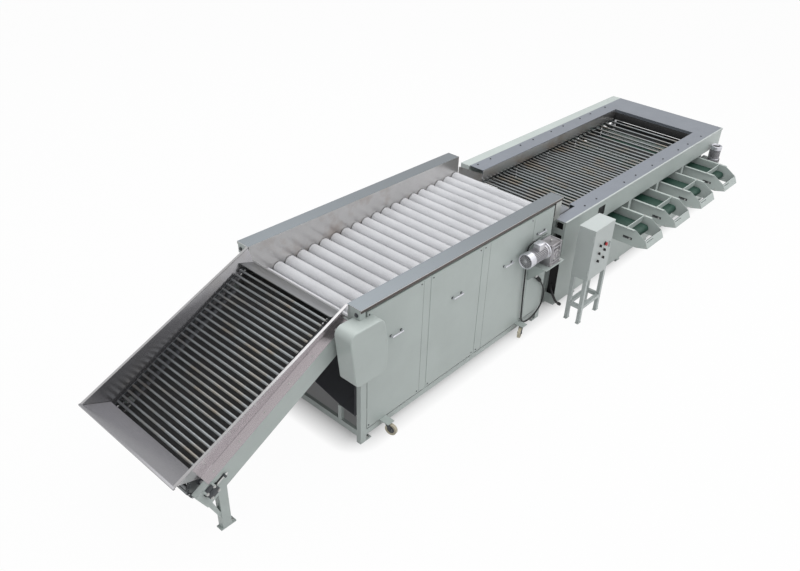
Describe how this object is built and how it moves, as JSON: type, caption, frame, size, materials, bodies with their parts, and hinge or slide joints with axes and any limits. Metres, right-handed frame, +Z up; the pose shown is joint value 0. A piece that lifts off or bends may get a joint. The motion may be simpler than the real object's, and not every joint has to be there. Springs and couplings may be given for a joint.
{
  "type": "potato washer grader",
  "caption": "Vegetable line with a sloping bar elevator, a trough of turning brush rollers, a widening-bar grader over crosswise outfeed belts, and a control cabinet on a stand.",
  "frame": {"origin": "on the floor, under the middle of the whole machine's box", "axes": "+X the way the potatoes travel, +Y from the working side to the far side, +Z up"},
  "size_m": [8.766, 2.323, 1.426],
  "materials": {
    "paint": "satin",
    "stainless": "brushed",
    "bar": "worn",
    "bristle": "matte",
    "tray": "matte",
    "bearing": "matte",
    "motor": "satin",
    "belt": "matte",
    "drum": "brushed",
    "cabinet": "satin",
    "red": "gloss",
    "knob": "matte",
    "castor": "matte",
    "zinc": "zinc plated",
    "cable": "matte"
  },
  "bodies": {
    "machine": {"washer_frame": "paint", "washer_panels": "paint", "washer_trough": "stainless", "inner_sheets": "tray", "brush_bearings": "bearing", "gearmotors": "motor", "infeed_frame": "paint", "infeed_hopper": "stainless", "grader_frame": "paint", "grader_deck": "stainless", "outfeed_frames": "paint", "outfeed_belts": "belt", "control_cabinet": "cabinet", "motor_cable": "cable"},
    "brush_01": {"brush_01": "bristle"},
    "brush_02": {"brush_02": "bristle"},
    "brush_03": {"brush_03": "bristle"},
    "brush_04": {"brush_04": "bristle"},
    "brush_05": {"brush_05": "bristle"},
    "brush_06": {"brush_06": "bristle"},
    "brush_07": {"brush_07": "bristle"},
    "brush_08": {"brush_08": "bristle"},
    "brush_09": {"brush_09": "bristle"},
    "brush_10": {"brush_10": "bristle"},
    "brush_11": {"brush_11": "bristle"},
    "brush_12": {"brush_12": "bristle"},
    "brush_13": {"brush_13": "bristle"},
    "brush_14": {"brush_14": "bristle"},
    "brush_15": {"brush_15": "bristle"},
    "brush_16": {"brush_16": "bristle"},
    "brush_17": {"brush_17": "bristle"},
    "brush_18": {"brush_18": "bristle"},
    "brush_19": {"brush_19": "bristle"},
    "brush_20": {"brush_20": "bristle"},
    "infeed_top_bars": {"infeed_top_bars": "bar"},
    "infeed_return_bars": {"infeed_return_bars": "bar"},
    "infeed_head_shaft": {"infeed_head_shaft": "bar"},
    "infeed_tail_shaft": {"infeed_tail_shaft": "bar"},
    "grader_top_bars": {"grader_top_bars": "bar"},
    "grader_return_bars": {"grader_return_bars": "bar"},
    "grader_head_shaft": {"grader_head_shaft": "bar"},
    "grader_tail_shaft": {"grader_tail_shaft": "bar"},
    "outfeed_head_drums": {"outfeed_head_drums": "drum"},
    "outfeed_tail_drums": {"outfeed_tail_drums": "drum"},
    "castor_fork_1": {"castor_fork_1": "zinc"},
    "castor_wheel_1": {"castor_wheel_1": "castor"},
    "castor_fork_2": {"castor_fork_2": "zinc"},
    "castor_wheel_2": {"castor_wheel_2": "castor"},
    "castor_fork_3": {"castor_fork_3": "zinc"},
    "castor_wheel_3": {"castor_wheel_3": "castor"},
    "castor_fork_4": {"castor_fork_4": "zinc"},
    "castor_wheel_4": {"castor_wheel_4": "castor"},
    "outfeed_flaps": {"outfeed_flaps": "paint"},
    "control_door": {"control_door": "cabinet"},
    "emergency_stop": {"emergency_stop": "red"},
    "selector_1": {"selector_1": "knob"},
    "selector_2": {"selector_2": "knob"},
    "selector_3": {"selector_3": "knob"},
    "selector_4": {"selector_4": "knob"},
    "selector_5": {"selector_5": "knob"}
  },
  "joints": [
    {"name": "brush_01_spin", "type": "hinge", "parent": "machine", "child": "brush_01", "pos_m": [-2.545, 0.1885, 1.086], "axis": [0, 1, 0], "continuous": true},
    {"name": "brush_02_spin", "type": "hinge", "parent": "machine", "child": "brush_02", "pos_m": [-2.4052, 0.1885, 1.09184], "axis": [0, 1, 0], "continuous": true},
    {"name": "brush_03_spin", "type": "hinge", "parent": "machine", "child": "brush_03", "pos_m": [-2.2654, 0.1885, 1.09768], "axis": [0, 1, 0], "continuous": true},
    {"name": "brush_04_spin", "type": "hinge", "parent": "machine", "child": "brush_04", "pos_m": [-2.1256, 0.1885, 1.10353], "axis": [0, 1, 0], "continuous": true},
    {"name": "brush_05_spin", "type": "hinge", "parent": "machine", "child": "brush_05", "pos_m": [-1.9858, 0.1885, 1.10937], "axis": [0, 1, 0], "continuous": true},
    {"name": "brush_06_spin", "type": "hinge", "parent": "machine", "child": "brush_06", "pos_m": [-1.846, 0.1885, 1.11521], "axis": [0, 1, 0], "continuous": true},
    {"name": "brush_07_spin", "type": "hinge", "parent": "machine", "child": "brush_07", "pos_m": [-1.7062, 0.1885, 1.12105], "axis": [0, 1, 0], "continuous": true},
    {"name": "brush_08_spin", "type": "hinge", "parent": "machine", "child": "brush_08", "pos_m": [-1.5664, 0.1885, 1.12689], "axis": [0, 1, 0], "continuous": true},
    {"name": "brush_09_spin", "type": "hinge", "parent": "machine", "child": "brush_09", "pos_m": [-1.4266, 0.1885, 1.13274], "axis": [0, 1, 0], "continuous": true},
    {"name": "brush_10_spin", "type": "hinge", "parent": "machine", "child": "brush_10", "pos_m": [-1.2868, 0.1885, 1.13858], "axis": [0, 1, 0], "continuous": true},
    {"name": "brush_11_spin", "type": "hinge", "parent": "machine", "child": "brush_11", "pos_m": [-1.147, 0.1885, 1.14442], "axis": [0, 1, 0], "continuous": true},
    {"name": "brush_12_spin", "type": "hinge", "parent": "machine", "child": "brush_12", "pos_m": [-1.0072, 0.1885, 1.15026], "axis": [0, 1, 0], "continuous": true},
    {"name": "brush_13_spin", "type": "hinge", "parent": "machine", "child": "brush_13", "pos_m": [-0.8674, 0.1885, 1.1561], "axis": [0, 1, 0], "continuous": true},
    {"name": "brush_14_spin", "type": "hinge", "parent": "machine", "child": "brush_14", "pos_m": [-0.7276, 0.1885, 1.16195], "axis": [0, 1, 0], "continuous": true},
    {"name": "brush_15_spin", "type": "hinge", "parent": "machine", "child": "brush_15", "pos_m": [-0.5878, 0.1885, 1.16779], "axis": [0, 1, 0], "continuous": true},
    {"name": "brush_16_spin", "type": "hinge", "parent": "machine", "child": "brush_16", "pos_m": [-0.448, 0.1885, 1.17363], "axis": [0, 1, 0], "continuous": true},
    {"name": "brush_17_spin", "type": "hinge", "parent": "machine", "child": "brush_17", "pos_m": [-0.3082, 0.1885, 1.17947], "axis": [0, 1, 0], "continuous": true},
    {"name": "brush_18_spin", "type": "hinge", "parent": "machine", "child": "brush_18", "pos_m": [-0.1684, 0.1885, 1.18531], "axis": [0, 1, 0], "continuous": true},
    {"name": "brush_19_spin", "type": "hinge", "parent": "machine", "child": "brush_19", "pos_m": [-0.0286, 0.1885, 1.19116], "axis": [0, 1, 0], "continuous": true},
    {"name": "brush_20_spin", "type": "hinge", "parent": "machine", "child": "brush_20", "pos_m": [0.1112, 0.1885, 1.197], "axis": [0, 1, 0], "continuous": true},
    {"name": "infeed_run", "type": "slide", "parent": "machine", "child": "infeed_top_bars", "axis": [0.8829, 0, 0.4695], "range_m": [0, 0.055]},
    {"name": "infeed_return", "type": "slide", "parent": "machine", "child": "infeed_return_bars", "axis": [-0.8829, 0, -0.4695], "range_m": [0, 0.055]},
    {"name": "infeed_head_shaft_spin", "type": "hinge", "parent": "machine", "child": "infeed_head_shaft", "pos_m": [-2.79937, 0.1885, 1.1801], "axis": [0, 1, 0], "range_deg": [0, 25.72]},
    {"name": "infeed_tail_shaft_spin", "type": "hinge", "parent": "machine", "child": "infeed_tail_shaft", "pos_m": [-4.11054, 0.1885, 0.48293], "axis": [0, 1, 0], "range_deg": [0, 25.72]},
    {"name": "grader_run", "type": "slide", "parent": "machine", "child": "grader_top_bars", "axis": [1, 0, 0], "range_m": [0, 0.072]},
    {"name": "grader_return", "type": "slide", "parent": "machine", "child": "grader_return_bars", "axis": [-1, 0, 0], "range_m": [0, 0.072]},
    {"name": "grader_head_shaft_spin", "type": "hinge", "parent": "machine", "child": "grader_head_shaft", "pos_m": [4.046, 0.2385, 0.69182], "axis": [0, 1, 0], "range_deg": [0, 18.01]},
    {"name": "grader_tail_shaft_spin", "type": "hinge", "parent": "machine", "child": "grader_tail_shaft", "pos_m": [0.701, 0.2385, 0.69182], "axis": [0, 1, 0], "range_deg": [0, 18.01]},
    {"name": "outfeed_head_drums_spin", "type": "hinge", "parent": "machine", "child": "outfeed_head_drums", "pos_m": [2.4685, -0.9315, 0.697], "axis": [1, 0, 0], "continuous": true},
    {"name": "outfeed_tail_drums_spin", "type": "hinge", "parent": "machine", "child": "outfeed_tail_drums", "pos_m": [2.4685, 0.8585, 0.697], "axis": [1, 0, 0], "continuous": true},
    {"name": "castor_1_swivel", "type": "hinge", "parent": "machine", "child": "castor_fork_1", "pos_m": [-2.426, -0.6195, 0.12], "axis": [0, 0, 1], "range_deg": [-120, 95]},
    {"name": "castor_1_roll", "type": "hinge", "parent": "castor_fork_1", "child": "castor_wheel_1", "pos_m": [-2.41768, -0.65863, 0.061], "axis": [-0.9781, -0.2079, 0], "continuous": true},
    {"name": "castor_2_swivel", "type": "hinge", "parent": "machine", "child": "castor_fork_2", "pos_m": [-0.376, -0.6195, 0.12], "axis": [0, 0, 1], "range_deg": [-40, 150]},
    {"name": "castor_2_roll", "type": "hinge", "parent": "castor_fork_2", "child": "castor_wheel_2", "pos_m": [-0.41359, -0.63318, 0.061], "axis": [-0.342, 0.9397, 0], "continuous": true},
    {"name": "castor_3_swivel", "type": "hinge", "parent": "machine", "child": "castor_fork_3", "pos_m": [-2.426, 0.9965, 0.12], "axis": [0, 0, 1], "range_deg": [-90, 125]},
    {"name": "castor_3_roll", "type": "hinge", "parent": "castor_fork_3", "child": "castor_wheel_3", "pos_m": [-2.41232, 1.03409, 0.061], "axis": [0.9397, -0.342, 0], "continuous": true},
    {"name": "castor_4_swivel", "type": "hinge", "parent": "machine", "child": "castor_fork_4", "pos_m": [-0.376, 0.9965, 0.12], "axis": [0, 0, 1], "range_deg": [-55, 155]},
    {"name": "castor_4_roll", "type": "hinge", "parent": "castor_fork_4", "child": "castor_wheel_4", "pos_m": [-0.34536, 1.02221, 0.061], "axis": [0.6428, -0.766, 0], "continuous": true},
    {"name": "outfeed_flaps_swing", "type": "hinge", "parent": "machine", "child": "outfeed_flaps", "pos_m": [2.4685, -0.8695, 0.812], "axis": [-1, 0, 0], "range_deg": [0, 80]},
    {"name": "control_door_hinge", "type": "hinge", "parent": "machine", "child": "control_door", "pos_m": [0.259, -0.9615, 0.845], "axis": [0, 0, -1], "range_deg": [0, 110]},
    {"name": "emergency_stop_press", "type": "slide", "parent": "control_door", "child": "emergency_stop", "axis": [0, 1, 0], "range_m": [0, 0.006], "stiffness_N_per_m": 800, "springref_m": -0.004},
    {"name": "selector_1_turn", "type": "hinge", "parent": "control_door", "child": "selector_1", "pos_m": [0.401, -0.9715, 0.93], "axis": [0, 1, 0], "range_deg": [-45, 45]},
    {"name": "selector_2_turn", "type": "hinge", "parent": "control_door", "child": "selector_2", "pos_m": [0.401, -0.9715, 0.838], "axis": [0, 1, 0], "range_deg": [-45, 45]},
    {"name": "selector_3_turn", "type": "hinge", "parent": "control_door", "child": "selector_3", "pos_m": [0.401, -0.9715, 0.745], "axis": [0, 1, 0], "range_deg": [-45, 45]},
    {"name": "selector_4_turn", "type": "hinge", "parent": "control_door", "child": "selector_4", "pos_m": [0.511, -0.9715, 0.842], "axis": [0, 1, 0], "range_deg": [-45, 45]},
    {"name": "selector_5_turn", "type": "hinge", "parent": "control_door", "child": "selector_5", "pos_m": [0.511, -0.9715, 0.75], "axis": [0, 1, 0], "range_deg": [-45, 45]}
  ],
  "couplings": [
    {"joint": "brush_02_spin", "follows": "brush_01_spin", "ratio": 1},
    {"joint": "brush_03_spin", "follows": "brush_01_spin", "ratio": 1},
    {"joint": "brush_04_spin", "follows": "brush_01_spin", "ratio": 1},
    {"joint": "brush_05_spin", "follows": "brush_01_spin", "ratio": 1},
    {"joint": "brush_06_spin", "follows": "brush_01_spin", "ratio": 1},
    {"joint": "brush_07_spin", "follows": "brush_01_spin", "ratio": 1},
    {"joint": "brush_08_spin", "follows": "brush_01_spin", "ratio": 1},
    {"joint": "brush_09_spin", "follows": "brush_01_spin", "ratio": 1},
    {"joint": "brush_10_spin", "follows": "brush_01_spin", "ratio": 1},
    {"joint": "brush_11_spin", "follows": "brush_01_spin", "ratio": 1},
    {"joint": "brush_12_spin", "follows": "brush_01_spin", "ratio": 1},
    {"joint": "brush_13_spin", "follows": "brush_01_spin", "ratio": 1},
    {"joint": "brush_14_spin", "follows": "brush_01_spin", "ratio": 1},
    {"joint": "brush_15_spin", "follows": "brush_01_spin", "ratio": 1},
    {"joint": "brush_16_spin", "follows": "brush_01_spin", "ratio": 1},
    {"joint": "brush_17_spin", "follows": "brush_01_spin", "ratio": 1},
    {"joint": "brush_18_spin", "follows": "brush_01_spin", "ratio": 1},
    {"joint": "brush_19_spin", "follows": "brush_01_spin", "ratio": 1},
    {"joint": "brush_20_spin", "follows": "brush_01_spin", "ratio": 1},
    {"joint": "infeed_return", "follows": "infeed_run", "ratio": 1},
    {"joint": "infeed_head_shaft_spin", "follows": "infeed_run", "rad_per_m": 8.16},
    {"joint": "infeed_tail_shaft_spin", "follows": "infeed_run", "rad_per_m": 8.16},
    {"joint": "grader_return", "follows": "grader_run", "ratio": 1},
    {"joint": "grader_head_shaft_spin", "follows": "grader_run", "rad_per_m": 4.3633},
    {"joint": "grader_tail_shaft_spin", "follows": "grader_run", "rad_per_m": 4.3633},
    {"joint": "outfeed_tail_drums_spin", "follows": "outfeed_head_drums_spin", "ratio": 1}
  ]
}
